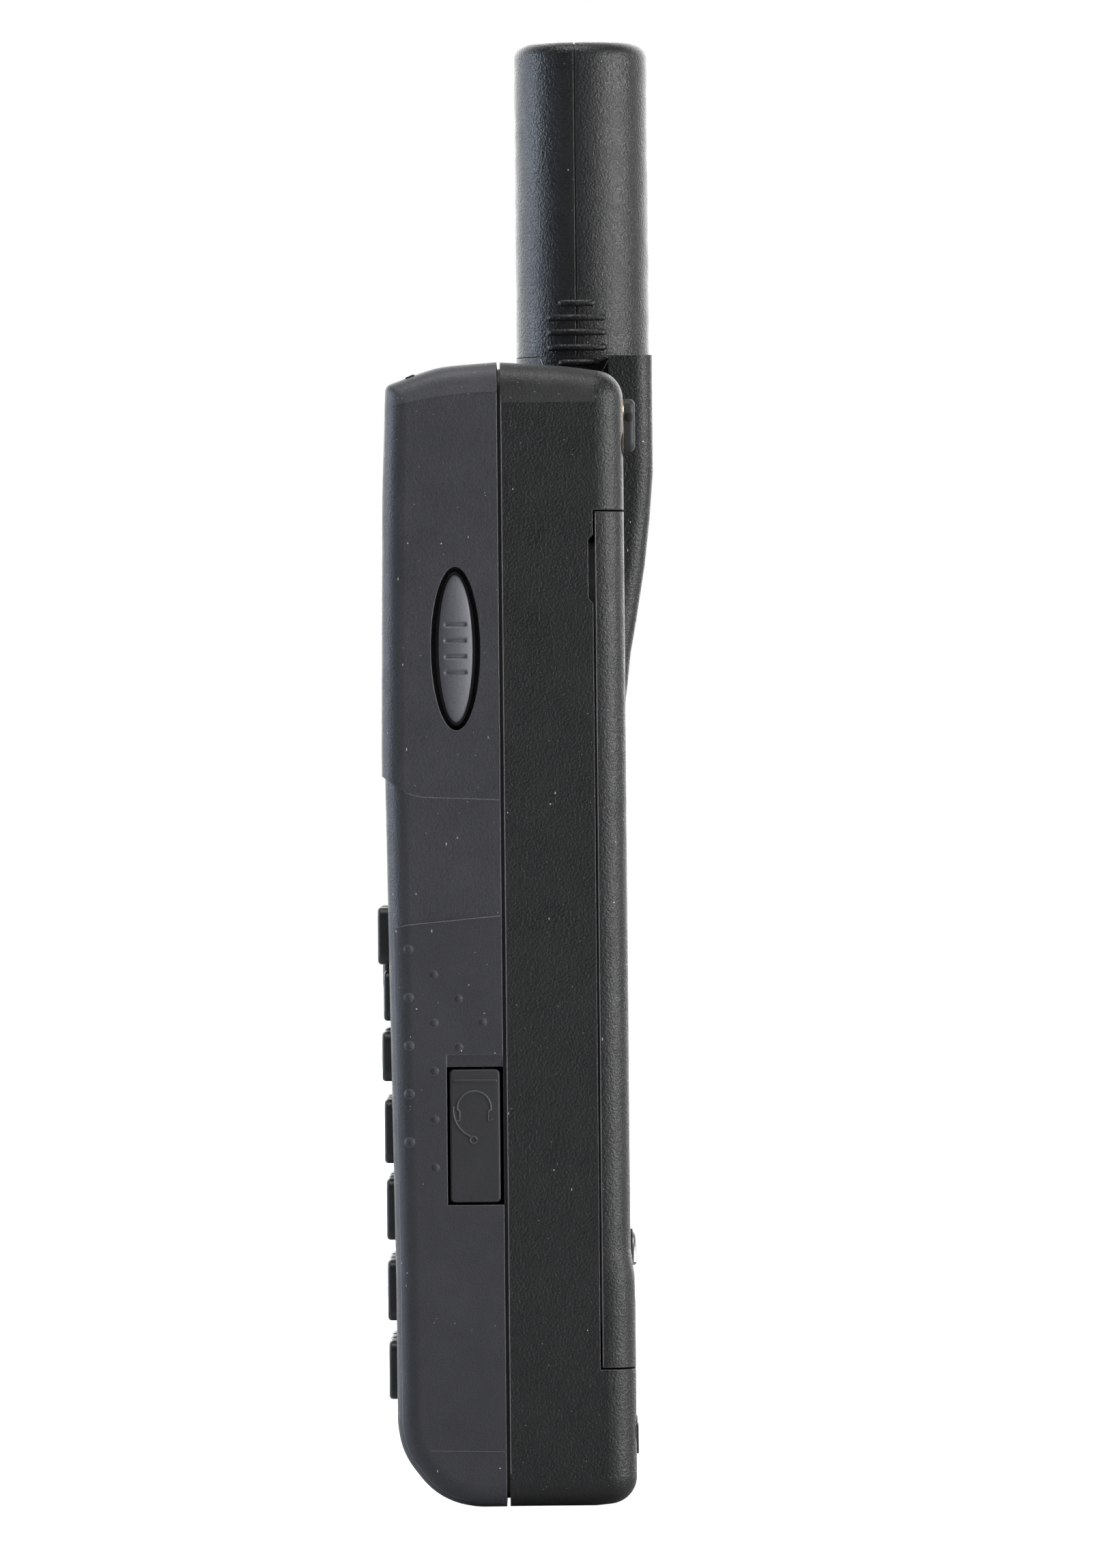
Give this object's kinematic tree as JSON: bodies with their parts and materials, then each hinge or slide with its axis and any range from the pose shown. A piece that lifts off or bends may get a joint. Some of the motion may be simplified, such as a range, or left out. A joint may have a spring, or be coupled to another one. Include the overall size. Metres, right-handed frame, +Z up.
{
  "type": "satellite phone",
  "caption": "Handheld satellite phone with a fold-down antenna on a side pivot, keypad, volume rocker, rubber port covers and a lift-off battery cover.",
  "frame": {"origin": "centre of the phone's bounding box at the flat base that it stands on", "axes": "+X to the user's right-hand side, -Y towards the keypad face, +Y the back, +Z up along the raised antenna"},
  "size_m": [0.054, 0.0418, 0.219],
  "materials": {
    "front_plastic": "soft-touch charcoal, fine grain",
    "rear_plastic": "black, fine spark grain",
    "grip_rubber": "soft matt overmould with raised dots",
    "antenna_plastic": "satin black spark texture",
    "cover_rubber": "matt black rubber",
    "key_plastic": "dark grey keys",
    "rocker_plastic": "bluish grey",
    "window_glass": "clear hard-coated window",
    "display": "display panel, off",
    "steel": "plain steel",
    "magnesium": "die-cast frame",
    "brass": "contacts",
    "board": "green solder mask",
    "pad_rubber": "silicone mat",
    "film": "film wrap",
    "black_part": "black"
  },
  "bodies": {
    "phone": {"antenna_connector": "brass", "back_feet": "cover_rubber", "battery_contacts": "brass", "battery_pack": "film", "case_screws": "steel", "chassis_frame": "magnesium", "data_connector": "steel", "display_module": "display", "display_window": "window_glass", "dome_sheet": "film", "earpiece": "black_part", "front_bezel": "front_plastic", "front_shell": "front_plastic", "grip_panel_left": "grip_rubber", "grip_panel_right": "grip_rubber", "headset_jack": "brass", "hinge_cover": "rear_plastic", "hinge_shaft": "steel", "keypad_mat": "pad_rubber", "loudspeaker": "black_part", "main_board": "board", "microphone": "black_part", "rear_shell": "rear_plastic", "shell_gasket": "cover_rubber", "shield_can": "steel", "sim_holder": "steel", "top_insert": "front_plastic", "vibration_motor": "steel"},
    "antenna": {"antenna_front_half": "antenna_plastic", "antenna_rear_half": "antenna_plastic", "antenna_knuckle": "antenna_plastic", "antenna_element": "black_part"},
    "volume_rocker": {"volume_rocker": "rocker_plastic"},
    "headset_cover": {"headset_cover": "cover_rubber"},
    "data_cover": {"data_cover": "cover_rubber"},
    "antenna_port_cover": {"antenna_port_cover": "cover_rubber"},
    "battery_cover": {"battery_cover": "rear_plastic", "cover_seal": "cover_rubber"},
    "cover_lock": {"cover_lock": "steel"},
    "lock_ring": {"lock_ring": "steel"},
    "key_0": {"key_0": "key_plastic"},
    "key_1": {"key_1": "key_plastic"},
    "key_2": {"key_2": "key_plastic"},
    "key_3": {"key_3": "key_plastic"},
    "key_4": {"key_4": "key_plastic"},
    "key_5": {"key_5": "key_plastic"},
    "key_6": {"key_6": "key_plastic"},
    "key_7": {"key_7": "key_plastic"},
    "key_8": {"key_8": "key_plastic"},
    "key_9": {"key_9": "key_plastic"},
    "key_hash": {"key_hash": "key_plastic"},
    "key_star": {"key_star": "key_plastic"},
    "nav_key": {"nav_key": "key_plastic"},
    "select_key": {"select_key": "key_plastic"},
    "soft_key_left": {"soft_key_left": "key_plastic"},
    "soft_key_right": {"soft_key_right": "key_plastic"},
    "call_key": {"call_key": "key_plastic"},
    "end_key": {"end_key": "key_plastic"},
    "menu_key": {"menu_key": "key_plastic"},
    "back_key": {"back_key": "key_plastic"}
  },
  "joints": [
    {"name": "antenna_fold", "type": "hinge", "parent": "phone", "child": "antenna", "pos_m": [-0.0155, 0.00962, 0.1601], "axis": [0, -1, 0], "range_deg": [0, 180]},
    {"name": "volume_rock", "type": "hinge", "parent": "phone", "child": "volume_rocker", "pos_m": [0.0246, -0.00888, 0.1274], "axis": [0, 1, 0], "range_deg": [-4, 4], "stiffness_Nm_per_rad": 0.02},
    {"name": "headset_cover_open", "type": "hinge", "parent": "phone", "child": "headset_cover", "pos_m": [0.0268, -0.00668, 0.0453], "axis": [0, 1, 0], "range_deg": [0, 100]},
    {"name": "data_cover_open", "type": "hinge", "parent": "phone", "child": "data_cover", "pos_m": [-0.0266, -0.00668, 0.118], "axis": [0, -1, 0], "range_deg": [0, 100]},
    {"name": "antenna_port_cover_open", "type": "hinge", "parent": "phone", "child": "antenna_port_cover", "pos_m": [0.012, 0.01812, 0.1567], "axis": [-1, 0, 0], "range_deg": [0, 100]},
    {"name": "battery_cover_lift", "type": "slide", "parent": "phone", "child": "battery_cover", "axis": [0, 1, 0], "range_m": [0, 0.02]},
    {"name": "lock_turn", "type": "hinge", "parent": "battery_cover", "child": "cover_lock", "pos_m": [0.015, 0.01532, 0.0332], "axis": [0, 1, 0], "range_deg": [0, 90]},
    {"name": "lock_ring_fold", "type": "hinge", "parent": "cover_lock", "child": "lock_ring", "pos_m": [0.015, 0.01667, 0.036], "axis": [-1, 0, 0], "range_deg": [0, 100]},
    {"name": "key_0_press", "type": "slide", "parent": "phone", "child": "key_0", "axis": [0, 1, 0], "range_m": [0, 0.0007], "stiffness_N_per_m": 300},
    {"name": "key_1_press", "type": "slide", "parent": "phone", "child": "key_1", "axis": [0, 1, 0], "range_m": [0, 0.0007], "stiffness_N_per_m": 300},
    {"name": "key_2_press", "type": "slide", "parent": "phone", "child": "key_2", "axis": [0, 1, 0], "range_m": [0, 0.0007], "stiffness_N_per_m": 300},
    {"name": "key_3_press", "type": "slide", "parent": "phone", "child": "key_3", "axis": [0, 1, 0], "range_m": [0, 0.0007], "stiffness_N_per_m": 300},
    {"name": "key_4_press", "type": "slide", "parent": "phone", "child": "key_4", "axis": [0, 1, 0], "range_m": [0, 0.0007], "stiffness_N_per_m": 300},
    {"name": "key_5_press", "type": "slide", "parent": "phone", "child": "key_5", "axis": [0, 1, 0], "range_m": [0, 0.0007], "stiffness_N_per_m": 300},
    {"name": "key_6_press", "type": "slide", "parent": "phone", "child": "key_6", "axis": [0, 1, 0], "range_m": [0, 0.0007], "stiffness_N_per_m": 300},
    {"name": "key_7_press", "type": "slide", "parent": "phone", "child": "key_7", "axis": [0, 1, 0], "range_m": [0, 0.0007], "stiffness_N_per_m": 300},
    {"name": "key_8_press", "type": "slide", "parent": "phone", "child": "key_8", "axis": [0, 1, 0], "range_m": [0, 0.0007], "stiffness_N_per_m": 300},
    {"name": "key_9_press", "type": "slide", "parent": "phone", "child": "key_9", "axis": [0, 1, 0], "range_m": [0, 0.0007], "stiffness_N_per_m": 300},
    {"name": "key_hash_press", "type": "slide", "parent": "phone", "child": "key_hash", "axis": [0, 1, 0], "range_m": [0, 0.0007], "stiffness_N_per_m": 300},
    {"name": "key_star_press", "type": "slide", "parent": "phone", "child": "key_star", "axis": [0, 1, 0], "range_m": [0, 0.0007], "stiffness_N_per_m": 300},
    {"name": "nav_key_press", "type": "slide", "parent": "phone", "child": "nav_key", "axis": [0, 1, 0], "range_m": [0, 0.0007], "stiffness_N_per_m": 300},
    {"name": "select_key_press", "type": "slide", "parent": "phone", "child": "select_key", "axis": [0, 1, 0], "range_m": [0, 0.0007], "stiffness_N_per_m": 300},
    {"name": "soft_key_left_press", "type": "slide", "parent": "phone", "child": "soft_key_left", "axis": [0, 1, 0], "range_m": [0, 0.0007], "stiffness_N_per_m": 300},
    {"name": "soft_key_right_press", "type": "slide", "parent": "phone", "child": "soft_key_right", "axis": [0, 1, 0], "range_m": [0, 0.0007], "stiffness_N_per_m": 300},
    {"name": "call_key_press", "type": "slide", "parent": "phone", "child": "call_key", "axis": [0, 1, 0], "range_m": [0, 0.0007], "stiffness_N_per_m": 300},
    {"name": "end_key_press", "type": "slide", "parent": "phone", "child": "end_key", "axis": [0, 1, 0], "range_m": [0, 0.0007], "stiffness_N_per_m": 300},
    {"name": "menu_key_press", "type": "slide", "parent": "phone", "child": "menu_key", "axis": [0, 1, 0], "range_m": [0, 0.0007], "stiffness_N_per_m": 300},
    {"name": "back_key_press", "type": "slide", "parent": "phone", "child": "back_key", "axis": [0, 1, 0], "range_m": [0, 0.0007], "stiffness_N_per_m": 300}
  ]
}
